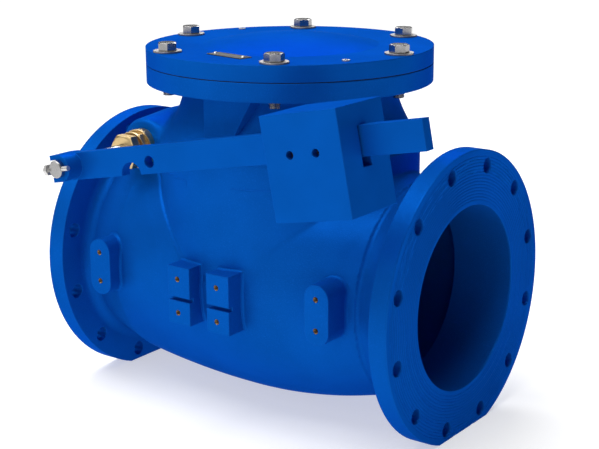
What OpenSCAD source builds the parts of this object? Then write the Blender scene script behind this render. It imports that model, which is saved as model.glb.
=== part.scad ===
// Flanged swing check valve with an outside lever and weight.
// Origin: centre of the inlet flange face. +X: direction of flow. +Z: up.

/* [Body] */
// Length from one flange face to the other
face_to_face = 700; // [690:1:760]
// Bore of the two ports
port_d = 304.8; // [290:0.1:306]
// Largest outside diameter of the horizontal barrel
barrel_d = 436; // [434:1:450]
// Outside diameter of the upright bowl
bowl_d = 442; // [440:1:455]
// Wall of the casting
wall = 15; // [11:0.5:18]
// Height where the bowl starts to narrow to the neck
bowl_top_z = 220; // [205:1:235]
// Height where the neck becomes straight
neck_z = 300; // [290:1:305]
// Outside diameter of the neck
neck_d = 347; // [345:1:352]
// Height from the pipe axis down to the flats on the flanges
foot_z = 228.6; // [225:0.1:236]

/* [Pipe flanges] */
// Outside diameter
flange_d = 482.6; // [480:0.1:500]
// Thickness
flange_t = 31.8; // [26:0.1:36]
// Bolt circle diameter
bolt_circle_d = 431.8; // [428:0.1:434]
// Number of bolt holes
flange_holes = 12; // [8:4:12]
// Diameter of each bolt hole
flange_hole_d = 25.4; // [20:0.1:28]
// Pitch of the turned grooves on the faces
groove_pitch = 5; // [4:0.5:8]

/* [Cover] */
// Outside diameter of the cover and of the flange under it
cover_d = 482.6; // [478:0.1:500]
// Height of the joint between body and cover
joint_z = 355; // [350:1:370]
// Thickness of the flange under the cover
bonnet_t = 30; // [24:1:34]
// Thickness of the cover
cover_t = 26.5; // [20:0.5:34]
// Thickness of the cover gasket
gasket_t = 1.6; // [0.8:0.1:3.2]
// Diameter of the domed middle
dome_d = 300; // [270:1:306]
// Height of the dome
dome_h = 18; // [10:1:24]
// Bolt circle diameter of the cover
cover_circle_d = 432; // [426:1:434]
// Number of cover bolts
cover_bolt_n = 6; // [4:1:8]
// Thread diameter of the cover bolts
cover_bolt_d = 19.05; // [14:0.05:22]
// Size of the bolt head across its flats
cover_bolt_af = 28.6; // [24:0.1:34]
// Outside diameter of the cover bolt washers
washer_d = 47; // [38:1:50]
// Thickness of the cover bolt washers
washer_t = 3; // [2:0.5:4]

/* [Hinge] */
// Distance of the shaft from the inlet face
shaft_x = 127.7; // [126:0.1:132]
// Height of the shaft above the pipe axis
shaft_z = 201.6; // [200:0.1:206]
// Diameter of the shaft
shaft_d = 28.58; // [24:0.01:31]
// Reach of the shaft to the lever side
shaft_reach = 340; // [338:1:350]
// Half width of the shaft housing
boss_half = 128; // [124:1:136]
// Diameter of the shaft housing at its ends
boss_d = 100; // [96:1:106]
// Radial running clearance of the shaft and of the disc stud
run_gap = 0.05; // [0.02:0.01:0.09]
// Height of the gland housing in front of the boss
gland_h = 30; // [24:1:36]
// Diameter of the gland housing
gland_d = 67; // [62:1:76]
// Size of the packing nut across its flats
packing_nut_af = 55; // [48:1:60]

/* [Disc] */
// Outside diameter of the disc
disc_d = 319; // [314:1:321]
// Thickness of the disc
disc_t = 18; // [14:1:24]
// Distance of the seat ring from the inlet face
seat_x = 66; // [64:1:68]
// Width of the seat ring along the pipe
seat_w = 22; // [20:1:23]
// Thickness of the rubber seal
seal_t = 8; // [6:1:9]
// Diameter of the disc stud
stud_d = 25.4; // [20:0.1:30]

/* [Lever and weight] */
// Angle of the lever above the pipe when the disc is shut
lever_angle = 10.93; // [5:0.01:20]
// Reach of the lever beyond the shaft
lever_reach = 678.7; // [600:1:760]
// Height of the lever bar
lever_h = 44.6; // [40:0.1:50]
// Thickness of the lever bar
lever_t = 18; // [14:1:20]
// Distance of the front of the lever bar from the pipe axis
lever_y = 300; // [296:1:308]
// Size of the hub around the shaft
hub_d = 44.6; // [42:0.1:50]
// Length of the weight along the lever
weight_l = 133.5; // [110:0.5:150]
// Height of the weight
weight_h = 155.5; // [120:0.5:170]
// Thickness of the weight
weight_t = 114.3; // [100:0.1:120]
// Distance of the weight from the shaft
weight_at = 442; // [440:1:480]
// Thread diameter of the weight's set screws
set_screw_d = 12.7; // [9:0.1:14]

/* [Pads] */
// Distance of the front faces of the slotted pads from the pipe axis
slot_pad_y = 251; // [246:1:256]
// Distance of the front faces of the oval pads from the pipe axis
oval_pad_y = 230; // [226:1:236]
// Width of the pads
pad_w = 45; // [40:1:50]
// Height of the pads
pad_h = 98; // [90:1:104]
// Diameter of the tapped holes in the pads
pad_hole_d = 9.5; // [8:0.1:11]

/* [Hidden] */
$fn = 96;

mid_x = face_to_face / 2;
port_r = port_d / 2;
barrel_r = barrel_d / 2;
bowl_r = bowl_d / 2;
neck_r = neck_d / 2;
eps = 0.5;

// barrel outline: two shallow arcs that meet above the bowl's axis
belly_in_r = 1600;
belly_out_r = 790;
hub_in_r = 180;
hub_in_x = flange_t + 18;
shoulder_x = mid_x - 232;
hub_out_r = 174;
hub_out_x = mid_x + 249;
fillet_in = 18;
fillet_out = face_to_face - flange_t - hub_out_x;
cavity_out_x = hub_out_x - 10;
spotface_d = 44;

// bowl: its foot tapers in below the pipe axis, and a fillet runs under the cover's flange
bowl_foot_z = -45;
bowl_foot_in = 22;
bowl_foot_top = 30;
collar_r = 8;

// the outlet holes are drilled a little larger, so that each flange's holes are a pattern of their own
outlet_hole_extra = 0.36;

// shaft housing across the body
boss_mid_d = boss_d + 14;
boss_mid_half = 40;
boss_round = 10;
hump_half = boss_half - 32;
hump_r = 43;
bush_seat_r = shaft_d / 2 + 10.7;
spigot_l = 28;

// cover stack
gasket_z = joint_z;
cover_z = joint_z + gasket_t;
cover_top = cover_z + cover_t;
neck_bore_r = neck_r - 12;
bolt_tip_z = joint_z - bonnet_t - 8;
cover_head_h = 13;
dome_rim = 15;
dome_wall = 2;

// seat and disc stack, as distances from the inlet face
seat_face = seat_x + seat_w;
seat_r = port_r + 19.6;
disc_r = disc_d / 2;
disc_face = seat_face + 3;
disc_back = disc_face + disc_t;
arm_t = 30;
arm_x = disc_back + 2;
arm_back = arm_x + arm_t;
arm_hub_d = 60;
arm_hub_l = 90;
arm_w = 44;
eye_d = 66;
washer_stack = 4;
nut_t = 20;
nut_af = 38.1;
stud_end = arm_back + 36;
cotter_x = arm_back + washer_stack + nut_t + 4;
key_s = 6.35;
arm_key_half = 20;
clamp_lug = 25.8;
clamp_up = shaft_d / 2 + 7.8;
clamp_bolt_d = 8;
clamp_bolt_af = 11;
clamp_head_h = 4.6;
clamp_slit = 2.5;

// lever hub and its cross bolt
hub_face = lever_y + 31;
hub_end = 16.5;
cross_d = 8;
cross_y = shaft_reach - 4.35;
weight_back = lever_y - 64.4;
slot_front = lever_y + 4.3;
slot_back = lever_y - lever_t;
slot_low = -lever_h / 2 - 16.5;
lever_mid = -2.1;
slide_gap = 0.1;
weight_low = -104 + (155.5 - weight_h) / 2;

// --- helpers -----------------------------------------------------------

// turns a shape drawn as (radius, distance) into a solid around the pipe axis
module along_pipe() {
    rotate([0, 90, 0]) rotate_extrude($fn = 180) children();
}

// places children at evenly spaced angles on a circle, first at angle a0
module ring_of(count, d, a0 = 0) {
    for (i = [0 : count - 1]) rotate([0, 0, a0 + i * 360 / count]) translate([d / 2, 0, 0]) children();
}

// the frame of the cover: upright axis through the middle of the body
module at_bonnet() {
    translate([mid_x, 0, 0]) children();
}

// the frame of the shaft: local X runs along the lever, local Z runs to the lever side
module at_shaft() {
    translate([shaft_x, 0, shaft_z]) rotate([0, -lever_angle, 0]) rotate([90, 0, 0]) children();
}

// the frame of the shaft with local X along the pipe
module at_hinge() {
    translate([shaft_x, 0, shaft_z]) rotate([90, 0, 0]) children();
}

module hex_prism(af, h) {
    cylinder(d = af / cos(30), h = h, $fn = 6);
}

// hexagon with the corners of one end turned off
module hex_head(af, h) {
    intersection() {
        hex_prism(af, h);
        union() {
            cylinder(d = af / cos(30) + 1, h = h - af * 0.07);
            translate([0, 0, h - af * 0.07]) cylinder(d1 = af / cos(30), d2 = af * 0.93, h = af * 0.07);
        }
    }
}

// --- body casting --------------------------------------------------------

module belly(inset, outline_in) {
    intersection() {
        translate([barrel_r - belly_in_r, mid_x]) circle(r = belly_in_r - inset, $fn = 720);
        polygon(outline_in);
    }
    intersection() {
        translate([barrel_r - belly_out_r, mid_x]) circle(r = belly_out_r - inset, $fn = 720);
        translate([0, mid_x]) square([barrel_r + 5, hub_out_x - mid_x]);
    }
}

function belly_at(x, inset) = barrel_r - belly_in_r
    + sqrt(pow(belly_in_r - inset, 2) - pow(mid_x - x, 2));

// shoulder that rises from the hub and runs on above the belly, which cuts it off
function shoulder(r0, x0, r1) = [[0, x0], [r0, x0], [r0 + (r1 - r0) * 2, x0 + (shoulder_x - x0) * 2],
    [barrel_r + 5, x0 + (shoulder_x - x0) * 2], [barrel_r + 5, mid_x], [0, mid_x]];

module barrel_outline() {
    belly(0, shoulder(hub_in_r, hub_in_x, belly_at(shoulder_x, 0)));
    square([hub_in_r, hub_in_x]);
    translate([0, hub_out_x]) square([hub_out_r, face_to_face - hub_out_x]);
    difference() {
        translate([0, flange_t]) square([hub_in_r + fillet_in, fillet_in]);
        translate([hub_in_r + fillet_in, flange_t + fillet_in]) circle(r = fillet_in);
    }
    difference() {
        translate([0, hub_out_x]) square([hub_out_r + fillet_out - 4, fillet_out]);
        translate([hub_out_r + fillet_out, hub_out_x]) circle(r = fillet_out, $fn = 240);
    }
}

module cavity_outline() {
    difference() {
        belly(wall, shoulder(hub_in_r, seat_face - eps, belly_at(shoulder_x, wall)));
        translate([0, cavity_out_x]) square([barrel_r, face_to_face]);
    }
    translate([0, seat_x]) square([seat_r, seat_face - seat_x]);
    translate([0, -1]) square([port_r, face_to_face + 2]);
}

module bowl_outline() {
    polygon([[0, bowl_foot_z], [bowl_r - bowl_foot_in, bowl_foot_z], [bowl_r, bowl_foot_top],
        [bowl_r, bowl_top_z], [neck_r, neck_z], [neck_r, joint_z - eps], [0, joint_z - eps]]);
    difference() {
        translate([0, joint_z - bonnet_t - collar_r]) square([neck_r + collar_r, collar_r + eps]);
        translate([neck_r + collar_r, joint_z - bonnet_t - collar_r]) circle(r = collar_r);
    }
}

module bowl_cavity_outline() {
    r = bowl_r - wall;
    polygon([[0, 0], [r - 10, 0], [r, bowl_foot_top], [r, bowl_top_z - 5], [neck_bore_r, neck_z - 8],
        [neck_bore_r, joint_z + 1], [0, joint_z + 1]]);
}

// shaft housing: a tapered tube across the body with rounded ends
module boss_outline() {
    r = boss_d / 2;
    translate([0, -boss_half]) square([r - boss_round, 2 * boss_half]);
    translate([0, -boss_mid_half]) square([boss_mid_d / 2, 2 * boss_mid_half]);
    for (side = [0, 1]) mirror([0, side]) {
        translate([r - boss_round, boss_half - boss_round]) circle(r = boss_round, $fn = 48);
        polygon([[0, boss_mid_half - 1], [boss_mid_d / 2, boss_mid_half], [r, boss_half - boss_round],
            [0, boss_half - boss_round]]);
    }
}

module flange_outline() {
    difference() {
        square([flange_d / 2, flange_t]);
        for (r = [port_r + 8 : groove_pitch : flange_d / 2 - 8]) translate([r, 0])
            circle(r = 0.7, $fn = 16);
    }
}

module pipe_flange(hole_d) {
    intersection() {
        difference() {
            along_pipe() flange_outline();
            rotate([0, 90, 0]) ring_of(flange_holes, bolt_circle_d, 180 / flange_holes)
                translate([0, 0, -1]) cylinder(d = hole_d, h = flange_t + 2);
        }
        translate([-1, -flange_d, -foot_z]) cube([flange_t + 2, 2 * flange_d, flange_d + foot_z]);
    }
}

oval_pad_x = [mid_x - 238.5, mid_x + 215.4];
slot_pad_x = [mid_x - 43.5, mid_x + 37.6];
oval_pad_z = 8;
slot_pad_z = -2.5;
pad_root = 120;
pad_hole_depth = 20;
oval_hole_shift = -1;
oval_hole_pitch = 50.8;
slot_hole_shift = -2.5;
slot_hole_z = -3.4;
slot_hole_pitch = 57.2;
cross_slot = [2 * pad_w, 11, 7];
cross_slot_z = -12;

module oval_pad(x) {
    translate([x, 0, oval_pad_z]) rotate([90, 0, 0]) translate([0, 0, pad_root]) {
        for (s = [-1, 1]) translate([0, s * (pad_h - pad_w) / 2, 0])
            cylinder(d = pad_w, h = oval_pad_y - pad_root);
        translate([-pad_w / 2, (pad_w - pad_h) / 2, 0]) cube([pad_w, pad_h - pad_w, oval_pad_y - pad_root]);
    }
}

module slot_pad(x) {
    translate([x - pad_w / 2, -slot_pad_y, slot_pad_z - pad_h / 2])
        cube([pad_w, slot_pad_y - pad_root, pad_h]);
}

module pad_hole(x, face, z) {
    translate([x, -face + pad_hole_depth, z]) rotate([90, 0, 0])
        cylinder(d = pad_hole_d, h = pad_hole_depth + 1, $fn = 32);
}

module pad_holes() {
    for (x = oval_pad_x, s = [-1, 1])
        pad_hole(x + oval_hole_shift, oval_pad_y, oval_pad_z + s * oval_hole_pitch / 2);
    for (x = slot_pad_x, s = [-1, 1])
        pad_hole(x + slot_hole_shift, slot_pad_y, slot_hole_z + s * slot_hole_pitch / 2);
    for (x = slot_pad_x) translate([x - pad_w, -slot_pad_y - 1, cross_slot_z]) cube(cross_slot);
}

// thickened strip that stiffens the front of the neck
module front_rib() {
    translate([mid_x, 0, 0]) difference() {
        intersection() {
            rotate([90, 0, 0]) linear_extrude(204)
                polygon([[-21, joint_z - bonnet_t + eps], [-21, 232], [22, 232],
                    [70, joint_z - bonnet_t + eps]]);
            cylinder(r = 205, h = joint_z);
        }
        translate([0, 0, 100]) cylinder(r = neck_bore_r + 4, h = 300);
    }
}

module body() {
    color([0.02, 0.33, 0.67]) difference() {
        union() {
            pipe_flange(flange_hole_d);
            translate([face_to_face, 0, 0]) mirror([1, 0, 0])
                pipe_flange(flange_hole_d + outlet_hole_extra);
            intersection() {
                along_pipe() barrel_outline();
                translate([1, -300, -foot_z]) cube([face_to_face - 2, 600, 600]);
            }
            at_bonnet() rotate_extrude($fn = 180) bowl_outline();
            translate([mid_x, 0, joint_z - bonnet_t]) cylinder(d = cover_d, h = bonnet_t, $fn = 180);
            at_hinge() rotate_extrude() boss_outline();
            for (x = oval_pad_x) oval_pad(x);
            for (x = slot_pad_x) slot_pad(x);
            front_rib();
        }
        along_pipe() cavity_outline();
        at_bonnet() rotate_extrude($fn = 180) bowl_cavity_outline();
        at_hinge() cylinder(r = hump_r, h = 2 * hump_half, center = true);
        at_hinge() cylinder(r = bush_seat_r, h = 2 * boss_half + 2, center = true);
        pad_holes();
        at_bonnet() ring_of(cover_bolt_n, cover_circle_d) translate([0, 0, joint_z - bonnet_t - 10])
            cylinder(d = cover_bolt_d + 0.1, h = bonnet_t + 11);
        seat_screw_places() translate([0, 0, -16]) cylinder(d = seat_screw_d + 0.1, h = 17, $fn = 32);
        translate([face_to_face - flange_t, 0, 0]) rotate([0, 90, 0])
            ring_of(flange_holes, bolt_circle_d, 180 / flange_holes)
                translate([0, 0, -26]) cylinder(d = spotface_d, h = 26);
    }
}

// --- cover and its fasteners ------------------------------------------------

// sphere through the dome's rim and crown
function cap_r(d, h) = (d * d / 4 + h * h) / (2 * h);

module cap(d, h) {
    r = cap_r(d, h);
    rotate_extrude($fn = 180) intersection() {
        translate([0, h - r]) circle(r = r, $fn = 360);
        square([d / 2, h]);
    }
}

module cover() {
    color([0.02, 0.33, 0.67]) at_bonnet() difference() {
        union() {
            translate([0, 0, cover_z]) cylinder(d = cover_d, h = cover_t, $fn = 180);
            translate([0, 0, cover_top]) cap(dome_d, dome_h);
        }
        translate([0, 0, cover_z]) cap(dome_d - 2 * dome_rim, dome_h - dome_wall);
        ring_of(cover_bolt_n, cover_circle_d) translate([0, 0, cover_z - 1])
            cylinder(d = cover_bolt_d + 2, h = cover_t + 2);
        jack_places() translate([0, 0, -cover_t - 1]) cylinder(d = jack_d + 0.1, h = cover_t + 2, $fn = 32);
        plate_screw_places() translate([0, 0, -8]) cylinder(d = plate_screw_d + 0.1, h = 9, $fn = 24);
    }
}

module cover_gasket() {
    color([0.16, 0.16, 0.17]) translate([mid_x, 0, gasket_z]) difference() {
        cylinder(d = cover_d - 4, h = gasket_t, $fn = 180);
        translate([0, 0, -1]) cylinder(r = neck_bore_r, h = gasket_t + 2, $fn = 180);
        ring_of(cover_bolt_n, cover_circle_d) translate([0, 0, -1])
            cylinder(d = cover_bolt_d + 1, h = gasket_t + 2);
    }
}

module cover_bolts() {
    color([0.72, 0.72, 0.74]) at_bonnet() ring_of(cover_bolt_n, cover_circle_d) {
        translate([0, 0, cover_top + washer_t]) hex_head(cover_bolt_af, cover_head_h);
        translate([0, 0, bolt_tip_z])
            cylinder(d = cover_bolt_d, h = cover_top + washer_t + eps - bolt_tip_z);
    }
}

module cover_washers() {
    color([0.66, 0.66, 0.68]) at_bonnet() ring_of(cover_bolt_n, cover_circle_d)
        translate([0, 0, cover_top]) difference() {
            cylinder(d = washer_d, h = washer_t);
            translate([0, 0, -1]) cylinder(d = cover_bolt_d + 0.8, h = washer_t + 2);
        }
}

jack_d = 12.7;

module jack_places() {
    translate([0, 0, cover_top]) ring_of(2, cover_circle_d, -30) children();
}

module jack_screws() {
    color([0.72, 0.72, 0.74]) at_bonnet() jack_places() translate([0, 0, -20]) difference() {
        cylinder(d = jack_d, h = 22, $fn = 48);
        translate([0, 0, 16]) hex_prism(6.35, 7);
    }
}

plate_l = 82;
plate_w = 26;
plate_t = 1.2;
plate_screw_d = 3;
plate_turn = -10;

module at_plate() {
    translate([2.6, -166, cover_top]) rotate([0, 0, plate_turn]) children();
}

module plate_screw_places() {
    at_plate() for (s = [-1, 1]) translate([s * (plate_l / 2 - 8), 0, 0]) children();
}

module nameplate() {
    color([0.7, 0.72, 0.74]) at_bonnet() difference() {
        at_plate() translate([-plate_l / 2, -plate_w / 2, 0]) cube([plate_l, plate_w, plate_t]);
        plate_screw_places() translate([0, 0, -1]) cylinder(d = plate_screw_d + 0.4, h = 4, $fn = 24);
    }
}

module nameplate_screws() {
    color([0.8, 0.8, 0.82]) at_bonnet() plate_screw_places() {
        translate([0, 0, plate_t]) cylinder(d1 = 7, d2 = 4, h = 2.2, $fn = 32);
        translate([0, 0, -6]) cylinder(d = plate_screw_d, h = 6 + plate_t + 0.2, $fn = 24);
    }
}

// --- seat -----------------------------------------------------------------------

seat_screw_n = 6;
seat_screw_d = 6.35;

// children stand on the counterbore's floor with local Z pointing downstream
module seat_screw_places() {
    translate([seat_x, 0, 0]) rotate([0, 90, 0]) ring_of(seat_screw_n, seat_r + port_r + 6, 30) children();
}

module seat_outline() {
    square([seat_r - port_r, seat_w - 5]);
    square([5.6, seat_w]);
    translate([5.6, 0]) polygon([[0, 0], [2, 0], [2, seat_w - 5], [0, seat_w - 1]]);
}

module seat_ring() {
    color([0.72, 0.52, 0.28]) difference() {
        translate([seat_x, 0, 0]) along_pipe() translate([port_r, 0]) seat_outline();
        seat_screw_places() translate([0, 0, -1])
            cylinder(d = seat_screw_d + 0.3, h = seat_w + 2, $fn = 32);
        seat_screw_places() translate([0, 0, seat_w - 9]) cylinder(d = 12, h = 10, $fn = 32);
    }
}

module seat_screws() {
    color([0.72, 0.72, 0.74]) seat_screw_places() {
        translate([0, 0, -14]) cylinder(d = seat_screw_d, h = 14 + seat_w - 8, $fn = 32);
        translate([0, 0, seat_w - 9]) difference() {
            cylinder(d = 11, h = 3.6, $fn = 32);
            translate([0, 0, 1.4]) hex_prism(4, 3);
        }
    }
}

// --- gland and bearings ------------------------------------------------------------

gland_face = boss_half + gland_h;
stuffing_r = bush_seat_r - 3.4;
nut_face = gland_face + 22;

module gland_housing() {
    color([0.80, 0.60, 0.28]) at_hinge() difference() {
        union() {
            translate([0, 0, boss_half - spigot_l]) cylinder(r = bush_seat_r, h = spigot_l + 1);
            translate([0, 0, boss_half]) cylinder(d = gland_d, h = 16);
            translate([0, 0, boss_half + 15]) hex_prism(gland_d * 0.84, gland_h - 19);
            translate([0, 0, gland_face - 5]) cylinder(d = gland_d * 0.92, h = 5);
        }
        translate([0, 0, boss_half - spigot_l - 1])
            cylinder(d = shaft_d + 2 * run_gap, h = gland_h + spigot_l + 2);
        translate([0, 0, boss_half + 2]) cylinder(r = stuffing_r, h = gland_h);
    }
}

module packing_rings() {
    ring_h = 5;
    color([0.12, 0.12, 0.12]) at_hinge() for (i = [0 : 2])
        translate([0, 0, boss_half + 2 + i * (ring_h + 0.2)]) difference() {
            cylinder(r = stuffing_r, h = ring_h);
            translate([0, 0, -1]) cylinder(d = shaft_d + 2 * run_gap, h = ring_h + 2);
        }
}

module packing_nut() {
    color([0.83, 0.65, 0.30]) at_hinge() difference() {
        union() {
            translate([0, 0, boss_half + 18]) cylinder(r = stuffing_r - 0.1, h = nut_face - boss_half - 20);
            translate([0, 0, nut_face - 18]) hex_head(packing_nut_af, 18);
        }
        translate([0, 0, boss_half]) cylinder(d = shaft_d + 2 * run_gap, h = nut_face);
    }
}

module far_bushing() {
    color([0.80, 0.60, 0.28]) at_hinge() difference() {
        translate([0, 0, -boss_half + 10]) cylinder(r = bush_seat_r, h = spigot_l - 10);
        translate([0, 0, -boss_half]) cylinder(d = shaft_d + 2 * run_gap, h = spigot_l + 2);
    }
}

module far_plug() {
    color([0.80, 0.60, 0.28]) at_hinge() {
        translate([0, 0, -boss_half]) cylinder(r = bush_seat_r, h = 10);
        translate([0, 0, -boss_half - 4]) cylinder(d = gland_d, h = 4);
        translate([0, 0, -boss_half - 3]) mirror([0, 0, 1]) hex_head(packing_nut_af, 17);
    }
}

// --- hinge, arm and disc ---------------------------------------------------------------

module keyway(near, far, angle) {
    rotate([0, 0, angle]) translate([shaft_d / 2 - key_s / 2, -key_s / 2, near])
        cube([key_s, key_s, far - near]);
}

module hinge_shaft() {
    shaft_start = -boss_half + 12;
    color([0.74, 0.74, 0.75]) difference() {
        at_hinge() {
            translate([0, 0, shaft_start]) cylinder(d = shaft_d, h = shaft_reach - 1.5 - shaft_start);
            translate([0, 0, shaft_reach - 1.5]) cylinder(d1 = shaft_d, d2 = shaft_d - 3, h = 1.5);
        }
        at_hinge() keyway(-arm_key_half, arm_key_half, 90);
        at_shaft() keyway(slot_back, hub_face - 3, 0);
        at_shaft() translate([0, 0, cross_y]) rotate([0, 90, 0])
            cylinder(d = cross_d + 0.2, h = 60, center = true, $fn = 32);
    }
}

module disc_arm() {
    color([0.30, 0.32, 0.34]) difference() {
        union() {
            at_hinge() cylinder(d = arm_hub_d, h = arm_hub_l, center = true);
            translate([arm_x, -arm_w / 2, 0]) cube([arm_t, arm_w, shaft_z]);
            translate([arm_x, 0, 0]) rotate([0, 90, 0]) cylinder(d = eye_d, h = arm_t);
            translate([shaft_x, -14, shaft_z + shaft_d / 2])
                cube([clamp_lug, 28, arm_hub_d / 2 - shaft_d / 2 + 1]);
        }
        at_hinge() cylinder(d = shaft_d, h = arm_hub_l + 2, center = true);
        at_hinge() keyway(-arm_key_half, arm_key_half, 90);
        translate([arm_x - 1, 0, 0]) rotate([0, 90, 0]) cylinder(d = stud_d + 2 * run_gap, h = arm_t + 2);
        translate([shaft_x + 3, -30, shaft_z + shaft_d / 2 - 6]) cube([clamp_slit, 60, 40]);
        translate([shaft_x - 40, 0, shaft_z + clamp_up]) rotate([0, 90, 0])
            cylinder(d = clamp_bolt_d + 0.2, h = 80, $fn = 32);
    }
}

module arm_key() {
    color([0.5, 0.5, 0.52]) at_hinge() keyway(-arm_key_half, arm_key_half, 90);
}

module arm_clamp_bolt() {
    color([0.72, 0.72, 0.74]) translate([shaft_x + clamp_lug, 0, shaft_z + clamp_up]) rotate([0, 90, 0]) {
        hex_head(clamp_bolt_af, clamp_head_h);
        translate([0, 0, -clamp_lug + 2]) cylinder(d = clamp_bolt_d, h = clamp_lug - 1, $fn = 32);
    }
}

module disc() {
    color([0.30, 0.32, 0.34]) difference() {
        union() {
            translate([disc_face, 0, 0]) along_pipe() difference() {
                square([disc_r, disc_t]);
                translate([eye_d / 2 + 14, disc_t - 5]) square([disc_r - eye_d / 2 - 34, 6]);
                translate([disc_r - 24, -1]) square([30, seal_t + 1 - 3]);
            }
            translate([disc_back - eps, 0, 0]) rotate([0, 90, 0]) cylinder(d = stud_d + 14, h = 2 + eps);
            translate([disc_back, 0, 0]) rotate([0, 90, 0]) cylinder(d = stud_d, h = stud_end - disc_back);
        }
        translate([cotter_x, 0, 0]) cylinder(d = 4.4, h = 80, center = true, $fn = 24);
        retainer_places() cylinder(d = retainer_screw_d + 0.1, h = 14, $fn = 32);
    }
}

module disc_seal() {
    color([0.06, 0.06, 0.065]) translate([seat_face, 0, 0]) along_pipe() difference() {
        translate([disc_r - 23.9, 0]) square([23.7, seal_t - 0.1]);
        translate([disc_r - 24, -1]) square([9, 4]);
    }
}

retainer_screw_n = 8;
retainer_screw_d = 7.94;

module retainer_places() {
    translate([disc_face - 3, 0, 0]) rotate([0, 90, 0])
        ring_of(retainer_screw_n, disc_d - 80, 22.5) children();
}

module seal_retainer() {
    color([0.70, 0.70, 0.72]) difference() {
        translate([seat_face, 0, 0]) along_pipe() translate([60, 0]) square([disc_r - 15.2 - 60, 3]);
        retainer_places() translate([0, 0, -1]) cylinder(d = retainer_screw_d + 0.4, h = 6, $fn = 32);
    }
}

module retainer_screws() {
    color([0.72, 0.72, 0.74]) retainer_places() {
        translate([0, 0, -5]) hex_head(12.7, 5);
        translate([0, 0, -1]) cylinder(d = retainer_screw_d, h = 14, $fn = 32);
    }
}

module stud_washer() {
    color([0.66, 0.66, 0.68]) translate([arm_back + 0.2, 0, 0]) rotate([0, 90, 0]) difference() {
        cylinder(d = 50, h = washer_stack - 0.2);
        translate([0, 0, -1]) cylinder(d = stud_d + 0.4, h = washer_stack + 2);
    }
}

module stud_nut() {
    color([0.72, 0.72, 0.74]) translate([arm_back + washer_stack, 0, 0]) rotate([0, 90, 0]) difference() {
        union() {
            hex_prism(nut_af, nut_t);
            translate([0, 0, nut_t - 1]) cylinder(d = nut_af * 0.92, h = 8);
        }
        translate([0, 0, -1]) cylinder(d = stud_d + 0.1, h = nut_t + 10);
        for (a = [0, 60, 120]) rotate([0, 0, a]) translate([-30, -2.6, nut_t + 1]) cube([60, 5.2, 10]);
    }
}

module stud_cotter_pin() {
    color([0.72, 0.72, 0.74]) translate([cotter_x, 0, 0]) {
        cylinder(d = 4, h = 46, center = true, $fn = 24);
        translate([0, 0, 26]) rotate([0, 90, 0]) rotate_extrude($fn = 48)
            translate([4, 0]) circle(d = 3.6, $fn = 24);
    }
}

// --- lever and weight ------------------------------------------------------------------------

notch_at = 128;
notch_r = 21;
pivot_hole_at = 170.3;
pivot_hole_d = 20;
pivot_hole_low = -5.6;

module lever_hub_outline() {
    circle(d = hub_d, $fn = 96);
    translate([-hub_end, -hub_d / 2]) square([hub_end, hub_d]);
}

module lever() {
    color([0.02, 0.33, 0.67]) at_shaft() difference() {
        union() {
            translate([-hub_end, lever_mid - lever_h / 2, slot_back])
                cube([lever_reach + hub_end, lever_h, lever_t]);
            translate([0, 0, slot_back]) linear_extrude(hub_face - slot_back) lever_hub_outline();
        }
        translate([0, 0, slot_back - 1]) cylinder(d = shaft_d, h = 80);
        translate([-40, -shaft_d / 2, slot_back - 1]) cube([40, shaft_d, 80]);
        keyway(slot_back - 1, hub_face - 3, 0);
        translate([pivot_hole_at, pivot_hole_low, slot_back - 1])
            cylinder(d = pivot_hole_d, h = lever_t + 2);
        translate([notch_at, lever_mid - lever_h / 2, slot_back - 1])
            cylinder(r = notch_r, h = lever_t + 2);
    }
}

module lever_key() {
    color([0.5, 0.5, 0.52]) at_shaft() keyway(slot_back, hub_face - 3, 0);
}

module lever_bolt() {
    color([0.72, 0.72, 0.74]) at_shaft() translate([0, 0, cross_y]) rotate([0, -90, 0]) {
        translate([0, 0, shaft_d / 2 + 2]) hex_head(17, 7);
        translate([0, 0, -26.5]) cylinder(d = cross_d, h = 26.5 + shaft_d / 2 + 3, $fn = 32);
    }
}

set_screw_at = [43.5, 88.7];
set_screw_low = -7.7;
set_screw_l = 38;
socket_af = 6.35;

module weight() {
    color([0.02, 0.33, 0.67]) at_shaft() translate([weight_at, 0, 0]) difference() {
        translate([0, weight_low, weight_back]) cube([weight_l, weight_h, weight_t]);
        translate([-1, slot_low, slot_back - slide_gap])
            cube([weight_l + 2, lever_mid + lever_h / 2 + slide_gap - slot_low,
                slot_front - slot_back + slide_gap]);
        for (u = set_screw_at) translate([u, set_screw_low, slot_back + 5])
            cylinder(d = set_screw_d, h = weight_t, $fn = 48);
    }
}

module weight_set_screws() {
    color([0.35, 0.35, 0.37]) at_shaft() for (u = set_screw_at)
        translate([weight_at + u, set_screw_low, lever_y]) difference() {
            cylinder(d = set_screw_d - 0.1, h = set_screw_l, $fn = 48);
            translate([0, 0, set_screw_l - 6]) hex_prism(socket_af, 7);
        }
}

body();
cover();
cover_gasket();
cover_bolts();
cover_washers();
jack_screws();
nameplate();
nameplate_screws();
seat_ring();
seat_screws();
gland_housing();
packing_rings();
packing_nut();
far_bushing();
far_plug();
hinge_shaft();
disc_arm();
arm_key();
arm_clamp_bolt();
disc();
disc_seal();
seal_retainer();
retainer_screws();
stud_washer();
stud_nut();
stud_cotter_pin();
lever();
lever_bolt();
lever_key();
weight();
weight_set_screws();
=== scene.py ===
"""Looks of a flanged swing check valve with an outside lever and weight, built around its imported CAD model.

Row frame, in metres: the origin is the middle of the inlet flange's face, +X is the flow and +Z is up.
"""

import math

import bmesh
import bpy
import numpy as np
from bpy.props import FloatProperty, FloatVectorProperty, PointerProperty
from mathutils import Matrix, Quaternion, Vector


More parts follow.
